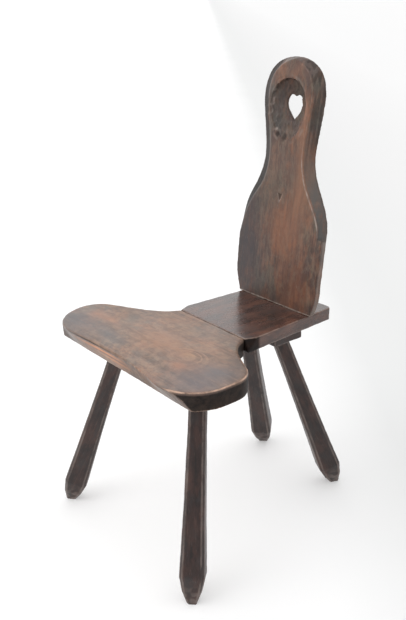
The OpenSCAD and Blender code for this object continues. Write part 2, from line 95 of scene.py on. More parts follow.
def ripple(points, wavelength, seed, waves=10):
    """A smooth random field from 0 to 1, whose bumps lie about a wavelength apart."""
    draw = np.random.default_rng(seed)
    total = np.zeros(len(points))
    for _ in range(waves):
        way = draw.normal(size=3)
        way /= np.linalg.norm(way)
        length = wavelength * draw.uniform(0.7, 1.6)
        total += np.sin(points @ way * (2 * math.pi / length) + draw.uniform(0, 2 * math.pi))
    return 0.5 + 0.5 * np.tanh(1.3 * total / math.sqrt(waves))


def above(value, low, high):
    """Rises smoothly from 0 at low to 1 at high."""
    t = np.clip((value - low) / (high - low), 0.0, 1.0)
    return t * t * (3.0 - 2.0 * t)


def below(value, low, high):
    """Falls smoothly from 1 at low to 0 at high."""
    return 1.0 - above(value, low, high)


def near(value, middle, reach):
    """1 in the middle, fading to 0 over the reach to both sides."""
    return np.exp(-(((value - middle) / reach) ** 2))


def dishes(across, along, width, length, seed):
    """How deep each point lies in the nearest of many shallow oval gouge cuts.

    1 in the middle of a cut, 0 on its rim.
    """
    draw = np.random.default_rng(seed)
    u, v = across / width, along / length
    columns = np.arange(math.floor(u.min()) - 1, math.ceil(u.max()) + 2)
    rows = np.arange(math.floor(v.min()) - 1, math.ceil(v.max()) + 2)
    nearest = np.full(len(u), np.inf)
    for i in columns:
        for j in rows:
            cu = i + 0.5 * (j % 2) + draw.uniform(-CUT_STRAY, CUT_STRAY)
            cv = j + draw.uniform(-CUT_STRAY, CUT_STRAY)
            nearest = np.minimum(nearest, (u - cu) ** 2 + (v - cv) ** 2)
    return np.clip(1.0 - nearest / CUT_REACH, 0.0, 1.0)


def read_points(mesh):
    points = np.empty(len(mesh.vertices) * 3)
    mesh.vertices.foreach_get("co", points)
    return points.reshape(-1, 3)


def read_normals(mesh):
    normals = np.empty(len(mesh.vertices) * 3)
    mesh.vertex_normals.foreach_get("vector", normals)
    return normals.reshape(-1, 3)


def write_points(mesh, points):
    mesh.vertices.foreach_set("co", points.astype(np.float32).ravel())
    mesh.update()


def sharp_edges(node, least_angle=20.0, spacing=0.7 * MM):
    """Points along the ridges and along the inner corners of a CAD solid."""
    solid = bmesh.new()
    solid.from_mesh(nodes[node].data)
    bmesh.ops.remove_doubles(solid, verts=solid.verts, dist=WELD)
    ridges, hollows = [], []
    for edge in solid.edges:
        if len(edge.link_faces) != 2:
            continue
        turn = edge.calc_face_angle_signed(0.0)
        if abs(turn) < math.radians(least_angle):
            continue
        start, end = edge.verts[0].co, edge.verts[1].co
        count = max(2, int((end - start).length / spacing) + 1)
        line = [start.lerp(end, i / (count - 1)) for i in range(count)]
        (ridges if turn > 0 else hollows).extend(line)
    solid.free()
    return ridges, hollows


def nearness(points, line, reach):
    """1 on the line, fading to 0 over the reach."""
    if not line:
        return np.zeros(len(points))
    tree = kdtree.KDTree(len(line))
    for i, p in enumerate(line):
        tree.insert(p, i)
    tree.balance()
    distance = np.array([tree.find(p)[2] for p in points])
    return near(distance, 0.0, reach)


def relax(points, edges, weight, rounds):
    """Moves each point towards the middle of its neighbours, by its weight."""
    a, b = edges[:, 0], edges[:, 1]
    degree = np.bincount(np.concatenate([a, b]), minlength=len(points)).clip(1)
    for _ in range(rounds):
        middle = np.empty_like(points)
        for k in range(3):
            around = np.bincount(a, points[b, k], len(points))
            around = around + np.bincount(b, points[a, k], len(points))
            middle[:, k] = around / degree
        points = points + (middle - points) * weight[:, None]
    return points


def even_mesh(node, name, quad):
    """A new piece in the place of a CAD solid, with the same surface as an even mesh of small quads."""
    welded = bmesh.new()
    welded.from_mesh(nodes[node].data)
    bmesh.ops.remove_doubles(welded, verts=welded.verts, dist=WELD)
    base = bpy.data.meshes.new(name + "_base")
    welded.to_mesh(base)
    welded.free()
    piece = bpy.data.objects.new(name, base)
    bpy.context.scene.collection.objects.link(piece)
    remesh = piece.modifiers.new("even_quads", "REMESH")
    remesh.mode = "VOXEL"
    remesh.voxel_size = quad
    graph = bpy.context.evaluated_depsgraph_get()
    fine = bpy.data.meshes.new_from_object(piece.evaluated_get(graph))
    piece.modifiers.clear()
    piece.data = fine
    fine.name = name
    bpy.data.meshes.remove(base)
    fine.shade_smooth()
    return piece


def attribute(mesh, name, values, kind="FLOAT"):
    layer = mesh.attributes.new(name, kind, "POINT")
    field = "value" if kind == "FLOAT" else "vector"
    layer.data.foreach_set(field, values.astype(np.float32).ravel())


def nowhere(points, normals):
    """The mask of what a piece doesn't have."""
    return np.zeros(len(points))


def held(points, rest, most):
    """Keeps each point within a distance of its first place."""
    shift = points - rest
    far = np.linalg.norm(shift, axis=1).clip(1e-9)
    return rest + shift * np.minimum(1.0, most / far)[:, None]


# Wear: the most that an arris loses, how far the darkening near an inner corner reaches, how long an
# arris's worn stretches are, how long and deep its chips are, and how much a face and an arris take of each
# round of rounding.
ARRIS_LOSS = 0.8 * MM
HOLLOW_REACH = 3.0 * MM
WORN_LENGTH = 55 * MM
CHIP_LENGTH = 17 * MM
CHIP_DEPTH = 0.35 * MM
FACE_ROUNDING = 0.12
ARRIS_ROUNDING = 0.5

# Across the grain, the waves of the planed faces have this share of their length along it.
ALONG_PLANE = 0.28

# What lies this low stands on the floor and stays flat.
STANDING = 0.6 * MM


def worked(node, name, material, grain, quad=1.5 * MM, arris=2.6 * MM, rounding=5,
           plane=0.25 * MM, plane_length=60 * MM, seed=1, carve=None,
           dark=nowhere, pale=nowhere, dusty=nowhere, quiet=nowhere):
    """A piece as hand tools and use leave it: arrises worn round, faces lightly planed and uneven.

    grain turns points into rows across, through and along the grain. dark, pale and dusty give, from
    0 to 1, where the wood is blackened by stain and dirt and by painted shade, lightened by rubbing and
    by painted highlights, or greyed, and quiet where its edges and corners don't show. quad is the size
    of the mesh's faces, arris the width that is rounded and rounding the number of rounds. plane and
    plane_length are the depth and length of the planed faces' waves.
    """
    piece = even_mesh(node, name, quad)
    mesh = piece.data
    points = read_points(mesh)
    edges = np.empty(len(mesh.edges) * 2, dtype=np.int64)
    mesh.edges.foreach_get("vertices", edges)
    edges = edges.reshape(-1, 2)
    ridges, hollows = sharp_edges(node)
    ridge = nearness(points, ridges, arris)
    hollow = nearness(points, hollows, HOLLOW_REACH)
    rest = points.copy()
    facing = read_normals(mesh)
    worn = ripple(points, WORN_LENGTH, seed + 1)
    softness = FACE_ROUNDING + ARRIS_ROUNDING * ridge * (0.35 + 0.65 * worn)
    points = held(relax(points, edges, softness, rounding), rest, ARRIS_LOSS)
    write_points(mesh, points)
    normals = read_normals(mesh)
    run = grain(points) * np.array([1.0, 1.0, ALONG_PLANE])
    taken = plane * ripple(run, plane_length, seed + 2)
    taken += CHIP_DEPTH * ridge * above(ripple(points, CHIP_LENGTH, seed + 3), 0.55, 0.95)
    points = points - normals * taken[:, None]
    if carve is not None:
        points = carve(points, normals, rest)
    standing = rest[:, 2] < STANDING
    points[standing] = rest[standing]
    write_points(mesh, points)
    attribute(mesh, "grain", grain(rest), "FLOAT_VECTOR")
    shown = 1.0 - quiet(rest, facing)
    attribute(mesh, "ridge", ridge * shown)
    attribute(mesh, "hollow", hollow * shown)
    attribute(mesh, "dark", dark(rest, facing))
    attribute(mesh, "pale", pale(rest, facing))
    attribute(mesh, "dusty", dusty(rest, facing))
    mesh.materials.clear()
    mesh.materials.append(material)
    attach(piece, "root")
    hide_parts(node)


# Node trees.

# A colour mix node has sockets for every type of value: these are its two colours and its result.
MIX_COLOURS = (6, 7)
MIX_RESULT = 2


class Tree:
    """A material's node tree, written as calls that each give back the socket they make."""

    def __init__(self, name):
        self.material = bpy.data.materials.new(name)
        self.material.use_nodes = True
        self.nodes = self.material.node_tree.nodes
        self.links = self.material.node_tree.links
        self.nodes.clear()

    def put(self, node, socket, value):
        if isinstance(value, bpy.types.NodeSocket):
            self.links.new(value, node.inputs[socket])
        elif value is not None:
            node.inputs[socket].default_value = value

    def node(self, kind, **settings):
        node = self.nodes.new(kind)
        for key, value in settings.items():
            setattr(node, key, value)
        return node

    def attribute(self, name, vector=False):
        node = self.node("ShaderNodeAttribute", attribute_name=name)
        return node.outputs["Vector" if vector else "Fac"]

    def math(self, operation, a, b=None, clamp=False):
        node = self.node("ShaderNodeMath", operation=operation, use_clamp=clamp)
        self.put(node, 0, a)
        self.put(node, 1, b)
        return node.outputs[0]

    def vector(self, operation, a, b=None, out=0):
        node = self.node("ShaderNodeVectorMath", operation=operation)
        self.put(node, 0, a)
        self.put(node, 1, b)
        return node.outputs[out]

    def noise(self, vector, scale=1.0, detail=3.0, roughness=0.55, colour=False):
        node = self.node("ShaderNodeTexNoise")
        self.put(node, "Vector", vector)
        node.inputs["Scale"].default_value = scale
        node.inputs["Detail"].default_value = detail
        node.inputs["Roughness"].default_value = roughness
        return node.outputs["Color" if colour else "Fac"]

    def line_noise(self, value):
        """Noise along one number, such as the distance from the tree's heart."""
        node = self.node("ShaderNodeTexNoise", noise_dimensions="1D")
        self.put(node, "W", value)
        node.inputs["Scale"].default_value = 1.0
        node.inputs["Detail"].default_value = 2.0
        return node.outputs["Fac"]

    def span(self, value, low, high, to_low=0.0, to_high=1.0):
        """Goes smoothly from to_low to to_high while the value goes from low to high."""
        node = self.node("ShaderNodeMapRange", interpolation_type="SMOOTHSTEP")
        self.put(node, "Value", value)
        numbers = {"From Min": low, "From Max": high, "To Min": to_low, "To Max": to_high}
        for socket, number in numbers.items():
            node.inputs[socket].default_value = number
        return node.outputs[0]

    def ramp(self, value, stops):
        """A colour from stops, which are pairs of a place from 0 to 1 and its colour."""
        node = self.node("ShaderNodeValToRGB")
        self.put(node, "Fac", value)
        points = node.color_ramp.elements
        while len(points) < len(stops):
            points.new(0.5)
        for point, (place, colour) in zip(points, stops):
            point.position = place
            point.color = (*colour, 1.0)
        return node.outputs["Color"]

    def mix(self, factor, a, b):
        node = self.node("ShaderNodeMix", data_type="RGBA", blend_type="MIX")
        self.put(node, "Factor", factor)
        for socket, colour in zip(MIX_COLOURS, (a, b)):
            if isinstance(colour, bpy.types.NodeSocket):
                self.links.new(colour, node.inputs[socket])
            else:
                node.inputs[socket].default_value = (*colour, 1.0)
        return node.outputs[MIX_RESULT]


# Noises of the wood: how many of their waves lie on a metre across, through and along the grain.
DRIFT_WAVES = (9.0, 9.0, 3.2)
FIBRE_WAVES = (640.0, 640.0, 16.0)
STREAK_WAVES_ALONG = 6.0
MOTTLE_WAVES = (34.0, 34.0, 17.0)
PORE_WAVES = (1500.0, 1500.0, 55.0)
SCRATCH_WAVES = (620.0, 620.0, 90.0)
RUB_WAVES = (80.0, 80.0, 30.0)
DULL_WAVES = (16.0, 16.0, 9.0)
SCUFF_WAVES = (210.0, 210.0, 120.0)

# How far the figure strays from straight lines, how little the rings lean along the board, how much
# stronger the figure is in an eye, and how much of the colour fibres and fine scratches take.
DRIFT_REACH = (0.022, 0.012, 0.05)
RING_LEAN = 0.06
EYE_CONTRAST = 1.1
FIBRE_DEPTH = 0.2
SCRATCH_STRENGTH = 0.2

# Stains smaller than this keep to their place, and larger ones follow the figure.
FINE_STAIN = 4 * MM

WAX_ROUGHNESS = 0.16
GRAIN_RELIEF = 0.22 * MM


def wood(name, tones, ring, heart, wear_and_highlight, black, gloss, dust=(0.1, 0.097, 0.09),
         wear_and_highlight_reach=(0.35, 0.95), wear_and_highlight_most=0.8, knots=(), stains=(), clouds=(), figure_depth=0.2,
         streak_depth=0.24, mottle_depth=0.36, sheen=0.5, coat=0.25, own_grain=True, gloss_spread=0.08,
         cloud_run=0.45, streaks_across=130.0):
    """Stained and waxed wood. Sizes are in metres in the grain's own axes: across, through, along.

    tones: dark, middle and light colour. The bare wood's colour is where the wood is rubbed bare, and it
    also gives painted highlights; black is where it is blackened, by stain and dirt, by painted shade and
    near inner corners; dust is where it is greyed. ring: width of a year ring, and heart: the place of the
    tree's
    heart across and through the board. knots: (across, along, reach, pull) of eyes in the figure. clouds:
    (colour, length, strength) of mottling, drawn out along the grain by 1 / cloud_run. stains: (place,
    reach, colour, strength) of soft spots in the three axes. figure_depth, streak_depth and mottle_depth:
    how much each changes the tone. Where on an arris the bare wood's colour shows, for rubbing and painted
    highlights, and the most of it. gloss: the roughness, give or take gloss_spread. sheen and coat: the
    wax's reflection.
    """
    tree = Tree(name)
    if own_grain:
        place = tree.attribute("grain", vector=True)
    else:
        place = tree.node("ShaderNodeTexCoord").outputs["Object"]
    drift = tree.noise(tree.vector("MULTIPLY", place, DRIFT_WAVES), detail=2.0, colour=True)
    drift = tree.vector("SUBTRACT", drift, (0.5, 0.5, 0.5))
    wavy = tree.vector("ADD", place, tree.vector("MULTIPLY", drift, DRIFT_REACH))

    # Year rings round the tree's heart, with eyes.
    centred = tree.vector("SUBTRACT", wavy, (*heart, 0.0))
    centred = tree.vector("MULTIPLY", centred, (1.0, 1.0, RING_LEAN))
    rings = tree.math("MULTIPLY", tree.vector("LENGTH", centred, out="Value"), 1.0 / ring)
    eyes = None
    for across, along, reach, pull in knots:
        apart = tree.vector("SUBTRACT", place, (across, 0.0, along))
        apart = tree.vector("MULTIPLY", apart, (1.0 / reach, 0.0, 0.75 / reach))
        square = tree.vector("DOT_PRODUCT", apart, apart, out="Value")
        bump = tree.math("EXPONENT", tree.math("MULTIPLY", square, -1.0))
        rings = tree.math("ADD", rings, tree.math("MULTIPLY", bump, pull))
        eyes = bump if eyes is None else tree.math("ADD", eyes, bump)
    figure = tree.span(tree.line_noise(rings), 0.34, 0.68)
    fibre = tree.noise(tree.vector("MULTIPLY", wavy, FIBRE_WAVES), detail=3.0, roughness=0.6)
    streak_waves = (streaks_across, streaks_across, STREAK_WAVES_ALONG)
    streaks = tree.noise(tree.vector("MULTIPLY", wavy, streak_waves), detail=4.0, roughness=0.6)
    mottle = tree.noise(tree.vector("MULTIPLY", place, MOTTLE_WAVES), detail=5.0, roughness=0.62)
    pores = tree.noise(tree.vector("MULTIPLY", place, PORE_WAVES), detail=1.0)
    pore = tree.span(pores, 0.6, 0.74)

    # Colour by tone, and clouds over it.
    tone = tree.math("MULTIPLY", figure, figure_depth)
    tone = tree.math("ADD", tone, tree.math("MULTIPLY", tree.span(fibre, 0.25, 0.75), FIBRE_DEPTH))
    tone = tree.math("ADD", tone, tree.math("MULTIPLY", tree.span(streaks, 0.28, 0.72), streak_depth))
    tone = tree.math("ADD", tone, tree.math("MULTIPLY", tree.span(mottle, 0.28, 0.72), mottle_depth))
    if eyes is not None:
        contrast = tree.math("MULTIPLY", eyes, EYE_CONTRAST)
        around = tree.math("SUBTRACT", figure, 0.5)
        tone = tree.math("ADD", tone, tree.math("MULTIPLY", around, contrast))
    colour = tree.ramp(tone, ((0.2, tones[0]), (0.52, tones[1]), (0.86, tones[2])))
    for number, (shade, length, strength) in enumerate(clouds):
        moved = tree.vector("ADD", wavy, (0.7 * number, 0.3, 0.4 * number))
        cloud_waves = (1.0 / length, 1.0 / length, cloud_run / length)
        cloud = tree.noise(tree.vector("MULTIPLY", moved, cloud_waves), detail=5.0, roughness=0.62)
        colour = tree.mix(tree.span(cloud, 0.47, 0.62, 0.0, strength), colour, shade)

    # Stains, pores and scratches.
    for spot, reach, shade, strength in stains:
        fine = min(reach) < FINE_STAIN
        apart = tree.vector("SUBTRACT", place if fine else wavy, spot)
        apart = tree.vector("MULTIPLY", apart, tuple(1.0 / r for r in reach))
        square = tree.vector("DOT_PRODUCT", apart, apart, out="Value")
        soft = tree.math("EXPONENT", tree.math("MULTIPLY", square, -1.0))
        uneven = tree.span(streaks, 0.2, 0.6, 0.5, 1.0)
        amount = tree.math("MULTIPLY", tree.math("MULTIPLY", soft, uneven), strength, clamp=True)
        colour = tree.mix(amount, colour, shade)
    colour = tree.mix(tree.math("MULTIPLY", pore, 0.5), colour, tuple(0.35 * c for c in tones[0]))
    scratch = tree.noise(tree.vector("MULTIPLY", place, SCRATCH_WAVES), detail=2.0)
    colour = tree.mix(tree.span(scratch, 0.6, 0.76, 0.0, SCRATCH_STRENGTH), colour, wear_and_highlight)

    # Dust, black for stain, dirt and painted shade, bare wood for rubbing and painted highlights, where the
    # piece's masks say so, and darkening near inner corners.
    rub = tree.noise(tree.vector("MULTIPLY", place, RUB_WAVES), detail=4.0, roughness=0.7)
    dusty = tree.math("MULTIPLY", tree.attribute("dusty"), tree.span(rub, 0.28, 0.62, 0.55, 1.0))
    colour = tree.mix(dusty, colour, dust)
    dark = tree.math("MULTIPLY", tree.attribute("dark"), tree.span(rub, 0.25, 0.62, 1.0, 0.9))
    colour = tree.mix(dark, colour, black)
    # Bare wood on the arrises: rubbed light, and on the legs also painted highlights along them.
    rubbed = tree.math("MULTIPLY", tree.span(tree.attribute("ridge"), *wear_and_highlight_reach),
                       tree.span(rub, 0.33, 0.62, 0.08, wear_and_highlight_most))
    colour = tree.mix(rubbed, colour, wear_and_highlight)
    hollow = tree.math("MULTIPLY", tree.attribute("hollow"), tree.span(rub, 0.25, 0.6, 0.6, 1.0))
    colour = tree.mix(tree.math("MULTIPLY", hollow, 0.8), colour, black)
    pale = tree.math("MULTIPLY", tree.attribute("pale"), tree.span(rub, 0.3, 0.62, 0.35, 1.0))
    colour = tree.mix(pale, colour, wear_and_highlight)

    # Gloss, and relief of the grain.
    dull = tree.noise(tree.vector("MULTIPLY", place, DULL_WAVES), detail=5.0, roughness=0.65)
    rough = tree.span(dull, 0.28, 0.72, gloss - gloss_spread, gloss + gloss_spread)
    rough = tree.math("ADD", rough, tree.math("MULTIPLY", fibre, 0.08))
    rough = tree.math("ADD", rough, tree.math("MULTIPLY", dark, 0.12))
    rough = tree.math("ADD", rough, tree.math("MULTIPLY", hollow, 0.3), clamp=True)

    height = tree.math("ADD", tree.math("MULTIPLY", fibre, 0.55), tree.math("MULTIPLY", figure, 0.2))
    height = tree.math("SUBTRACT", height, tree.math("MULTIPLY", pore, 0.7))
    scuffs = tree.noise(tree.vector("MULTIPLY", place, SCUFF_WAVES), detail=3.0, roughness=0.7)
    height = tree.math("SUBTRACT", height, tree.math("MULTIPLY", tree.span(scuffs, 0.62, 0.8), 0.9))
    height = tree.math("ADD", height, tree.math("MULTIPLY", dull, 1.6))
    bump = tree.node("ShaderNodeBump")
    bump.inputs["Strength"].default_value = 0.5
    bump.inputs["Distance"].default_value = GRAIN_RELIEF
    tree.put(bump, "Height", height)

    shader = tree.node("ShaderNodeBsdfPrincipled")
    tree.put(shader, "Base Color", colour)
    tree.put(shader, "Roughness", rough)
    tree.put(shader, "Normal", bump.outputs["Normal"])
    tree.put(shader, "Specular IOR Level", tree.span(dark, 0.0, 0.9, sheen, 0.12))
    tree.put(shader, "Coat Weight", tree.span(dark, 0.0, 0.6, coat, 0.0))
    shader.inputs["Coat Roughness"].default_value = WAX_ROUGHNESS
    out = tree.node("ShaderNodeOutputMaterial")
    tree.links.new(shader.outputs[0], out.inputs["Surface"])
    return tree.material


# The grain's own axes on each piece: across, through and along.

def largest_front_face(node):
    """The flat front of the back rest, which its axes are taken from."""
    faces = [p for p in nodes[node].data.polygons if p.normal.y < -0.9]
    return max(faces, key=lambda p: p.area)


splat_face = largest_front_face("back_splat")
splat_out = Vector((0.0, splat_face.normal.y, splat_face.normal.z)).normalized()
splat_up = Vector((0.0, splat_out.z, -splat_out.y))
on_face = nodes["back_splat"].data.vertices[splat_face.vertices[0]].co
above_seat = (on_face.z - seat_top) / splat_up.z
splat_foot = Vector((middle_x, on_face.y, on_face.z)) - splat_up * above_seat


def splat_axes(points):
    """Across, through from the front face, and up from the seat, for points of the back rest."""
    apart = points - np.array(splat_foot)
    return np.stack([apart[:, 0], -apart @ np.array(splat_out), apart @ np.array(splat_up)], axis=1)


def board_axes(points):
    """The front board's grain runs from side to side."""
    return np.stack([points[:, 1], points[:, 2] - seat_top, points[:, 0] - middle_x], axis=1)


def plank_axes(points):
    """The plank's grain runs from the front to the rear."""
    return np.stack([points[:, 0] - middle_x, points[:, 2] - seat_top, points[:, 1]], axis=1)


# How far apart along the same figure the legs are cut.
LEG_STRETCH = 1.7


def leg_axes(node, number):
    """Across, through and along a leg. The number gives each leg its own stretch of figure."""
    low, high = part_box(node)
    outward = 1.0 if low.x + high.x > 0 else -1.0
    forward = -1.0 if low.y + high.y < 0 else 1.0
    head = Vector((low.x if outward > 0 else high.x, high.y if forward < 0 else low.y, high.z))
    foot = Vector((high.x if outward > 0 else low.x, low.y if forward < 0 else high.y, low.z))
    along = (head - foot).normalized()
    across = along.cross(Vector((0.0, 1.0, 0.0))).normalized()
    through = along.cross(across)
    turn = np.array([across, through, along])

    def axes(points):
        return (points - np.array(foot)) @ turn.T + np.array([0.0, 0.0, LEG_STRETCH * number])

    return axes


# Hand work, rubbing and dirt, painted shade and painted highlights on single pieces. Masks go from 0 to 1.
# The two numbers that above and below take are where a mask begins to change and where it has changed:
# heights over the seat, distances to the right of the middle, depths under a face, or parts of a normal.
# Those of the back rest were made for its front. They have no limit to the rear, so the left bevel's
# painted shade and the tip's painted cuts also colour its back.

FIELD_MIDDLE = (-4.5 * MM, 378 * MM)
FIELD_HALF = (49 * MM, 60 * MM)
FIELD_DEPTH = 7.5 * MM
FIELD_RIM = 0.12
CUT_WIDTH = 10 * MM
CUT_LENGTH = 15 * MM
CUT_DEPTH = 2.0 * MM
CUT_SLANT = 0.25

# Two cuts in the field's lower tip, painted as dark shade, with half their widths and lengths, and a light
# chip beside them. They are colour only: the shape doesn't have them.
TIP_CUTS = ((-26 * MM, 332 * MM), (-9.5 * MM, 329 * MM))
TIP_CUT_HALVES = ((5.5 * MM, 8 * MM), (8 * MM, 12 * MM))
TIP_CHIP = (-31 * MM, 341 * MM)

# A nick in the face, pointed at its lower end.
NICK_PLACE = (-9 * MM, 206 * MM)
NICK_WIDTH = 12 * MM
NICK_LENGTH = 15 * MM
NICK_DEPTH = 1.6 * MM

# The board was sawn by eye: how far its middle strays to the right, by height.
STRAY_HEIGHTS = (0.0, 60 * MM, 150 * MM, 230 * MM, 300 * MM, 390 * MM, 480 * MM)
STRAY = (0.0, -2.5 * MM, -0.5 * MM, 3.5 * MM, 0.5 * MM, -1.5 * MM, 2.0 * MM)

# What varies along the grain does so this many times more slowly than across it.
GRAIN_STRETCH = 10.0

# The cut front corners of the plank end this far behind the seam.
CORNER_END = (24 * MM, 34 * MM)


def field_distance(across, along):
    """0 in the middle of the carved field round the heart, 1 on its rim."""
    return np.hypot((across - FIELD_MIDDLE[0]) / FIELD_HALF[0], (along - FIELD_MIDDLE[1]) / FIELD_HALF[1])


def in_field(across, along, spread=1.0):
    """The carved field, made larger or smaller by the spread."""
    return below(field_distance(across, along), spread, spread + FIELD_RIM)


def gouge_cuts(across, along):
    """How deep each point lies in the field's slanting gouge cuts."""
    return dishes(across + CUT_SLANT * along, along, CUT_WIDTH, CUT_LENGTH, seed=5)


def tip_cut_shade(across, along):
    """The painted shade of the two cuts side by side in the lower tip of the field."""
    shade = np.zeros(len(across))
    for (middle, height), half in zip(TIP_CUTS, TIP_CUT_HALVES):
        far = np.hypot((across - middle) / half[0], (along - height) / half[1])
        shade = np.maximum(shade, 0.8 * below(far, 0.3, 1.1))
    return shade


def nick_edge(across, along):
    """How far a point lies inside the nick's two slanting sides and its upper end."""
    up = along - NICK_PLACE[1]
    sides = (NICK_WIDTH / 2 * up / NICK_LENGTH) - np.abs(across - NICK_PLACE[0])
    return np.minimum(sides, NICK_LENGTH - up)


def streaked(across, through, along, width, seed):
    """A ripple that is drawn out along the grain."""
    return ripple(np.stack([across, through, along / GRAIN_STRETCH], axis=1), width, seed)


def carve_back(points, normals, rest):
    """The hand work on the back rest: the carved field, the nick in its face and its uneven outline."""
    across, through, along = splat_axes(rest).T
    inside = in_field(across, along, 1.05)

    # Gouge cuts on the field's floor and its upper left rim, but not on the heart's wall.
    sunk = above(through, 0.5 * MM, 2.0 * MM) * below(through, FIELD_DEPTH + 2 * MM, FIELD_DEPTH + 3.5 * MM)
    upper_left = above(along - across, FIELD_MIDDLE[1] - 5 * MM, FIELD_MIDDLE[1] + 25 * MM)
    on_rim = below(through, 0.3 * MM, 0.6 * MM) * in_field(across, along, 0.98) * upper_left
    aslant = below(normals @ np.array(splat_out), 0.5, 0.9)
    heart_wall = above(through, FIELD_DEPTH - 1.5 * MM, FIELD_DEPTH) * aslant
    cut = CUT_DEPTH * gouge_cuts(across, along) * np.maximum(inside * sunk * (1.0 - heart_wall), on_rim)
    points = points - normals * cut[:, None]

    # The floor rises towards the field's right side and lower tip, and it is dished but for its upper end.
    front = below(through, FIELD_DEPTH + 0.6 * MM, FIELD_DEPTH + 3 * MM)
    rise = above(across - 0.35 * (along - FIELD_MIDDLE[1]), -25 * MM, 45 * MM)
    lift = 0.5 * through.clip(0.0, FIELD_DEPTH) * rise * inside * front
    roundness = 0.9 - 0.75 * above(along, FIELD_MIDDLE[1] + 10 * MM, FIELD_MIDDLE[1] + 40 * MM)
    dish = FIELD_DEPTH * (1.0 - roundness * above(field_distance(across, along), 0.35, 1.02))
    lift = np.maximum(lift, (through - dish).clip(0.0, FIELD_DEPTH) * inside * front)

    nick = NICK_DEPTH * (nick_edge(across, along) > 0.0) * (through < 1.0 * MM)
    points = points + np.array(splat_out) * (lift - nick)[:, None]
    points[:, 0] += np.interp(along, STRAY_HEIGHTS, STRAY)
    return points


def back_dark(points, normals):
    """Painted shade blackens the field, most under its upper wall, the heart's edge, the left bevel and the
    tip's cuts, which are painted only. Black too are the nick, and in streaks the right bevel round the
    head."""
    across, through, along = splat_axes(points).T
    inside = in_field(across, along)
    sunk = above(through, 0.8 * MM, 3.5 * MM) * below(through, 13 * MM, 13.8 * MM)
    high = above(along + 0.4 * across, FIELD_MIDDLE[1] - 20 * MM, FIELD_MIDDLE[1] + 45 * MM)
    left = below(across, -30 * MM, 30 * MM)
    # Painted shade in the carved field, deepest under its upper wall and a little more on its left.
    field = inside * sunk * (0.2 + 0.35 * high + 0.1 * left)
    nick = above(nick_edge(across, along), 0.0, 1.0 * MM) * (through < 3 * MM)

    # Painted shade darkens the left bevel.
    left_bevel = above(through, 1.0 * MM, 2.5 * MM) * below(across, -40 * MM, -20 * MM) * (1.0 - inside)
    left_bevel *= above(along, 120 * MM, 160 * MM)
    right_bevel = above(through, 0.8 * MM, 2.0 * MM) * above(across, 20 * MM, 30 * MM) * (1.0 - inside)
    right_bevel *= above(along, 260 * MM, 340 * MM)
    right_bevel *= 0.12 + 0.38 * above(streaked(across, through, along, 7 * MM, 3), 0.3, 0.7)
    return np.maximum.reduce([field, 0.85 * left_bevel, 0.5 * nick, tip_cut_shade(across, along), right_bevel])


def back_pale(points, normals):
    """Rubbed or broken light are the field's rim, the edges of the tip's painted cuts and of the nick, a
    chip, and the right side low down. Light too is a line along the foot of the face, and painted highlights
    lie on the ridges between the field's left cuts."""
    across, through, along = splat_axes(points).T
    face = below(through, 0.5 * MM, 1.2 * MM)
    foot = face * below(along, 2.2 * MM, 4.0 * MM)
    rim = (in_field(across, along, 0.985) - in_field(across, along, 0.93)).clip(0.0, 1.0)
    rim *= below(through, 1.5 * MM, 3 * MM) * above(ripple(points, 30 * MM, 12), 0.2, 0.7)

    # Painted highlights on the ridges between the field's left cuts.
    ridges = in_field(across, along) * below(across, -42 * MM, -22 * MM)
    ridges *= below(gouge_cuts(across, along), 0.1, 0.5) * above(ripple(points, 9 * MM, 7), 0.35, 0.7)
    cut_edges = tip_cut_shade(across - 1.5 * MM, along - 3 * MM) * (1.0 - tip_cut_shade(across, along))
    chip = below(np.hypot(across - TIP_CHIP[0], along - TIP_CHIP[1]), 1.0 * MM, 4.5 * MM)

    nick = face * above(nick_edge(across, along + 1.5 * MM), -1.8 * MM, -0.6 * MM)
    nick *= nick_edge(across, along) < 0
    side = above(normals[:, 0], 0.6, 0.8) * below(along, 146 * MM, 156 * MM)
    side *= 0.4 + 0.6 * streaked(across, through, along, 8 * MM, 4)
    return np.maximum.reduce([0.95 * foot, 0.3 * rim, 0.3 * ridges, 0.3 * cut_edges, 0.6 * chip,
                              0.35 * nick, 0.4 * side])


def back_dusty(points, normals):
    """Grey are the bevels, more so low down, the left wall of the field and the face beside it."""
    across, through, along = splat_axes(points).T
    bevel = above(through, 0.8 * MM, 2.2 * MM) * below(through, 11.5 * MM, 12.5 * MM)
    bevel *= (1.0 - in_field(across, along)) * above(along, 140 * MM, 160 * MM)
    bevel *= 0.35 + 0.55 * below(along, 190 * MM, 330 * MM)
    left_wall = in_field(across, along) * above(through, 1 * MM, 3 * MM) * below(across, -40 * MM, 5 * MM)
    beside = above(-across, 38 * MM, 46 * MM) * above(along, 300 * MM, 330 * MM)
    beside *= below(along, 420 * MM, 450 * MM)
    return np.maximum.reduce([bevel, 0.6 * left_wall, 0.5 * beside])


def back_quiet(points, normals):
    """Of all arrises the right one is rubbed light, from the waist down to the bevel's stop."""
    across, through, along = splat_axes(points).T
    face = below(through, 1.0 * MM, 3.0 * MM)
    waist = above(along, 145 * MM, 165 * MM) * (0.4 + 0.6 * below(along, 250 * MM, 330 * MM))
    right = above(across, 20 * MM, 35 * MM)
    stop = above(through, 1.5 * MM, 3 * MM) * above(across, 60 * MM, 70 * MM)
    stop *= below(along, 156 * MM, 164 * MM)
    shown = (0.3 + 0.7 * waist * face) * (0.05 + 0.95 * right) * (1.0 - stop)
    return 1.0 - shown * (1.0 - in_field(across, along, 1.02))


def board_quiet(points, normals):
    """The arris is rubbed light round the right lobe, a little along the front and hardly behind."""
    lobe = above(points[:, 0] - middle_x, 120 * MM, 165 * MM)
    front = below(points[:, 1] - seam_y, -200 * MM, -150 * MM)
    top = below(seat_top - points[:, 2], 2 * MM, 5 * MM)
    return 1.0 - np.maximum(0.2, np.maximum(lobe, 0.5 * front) * top)


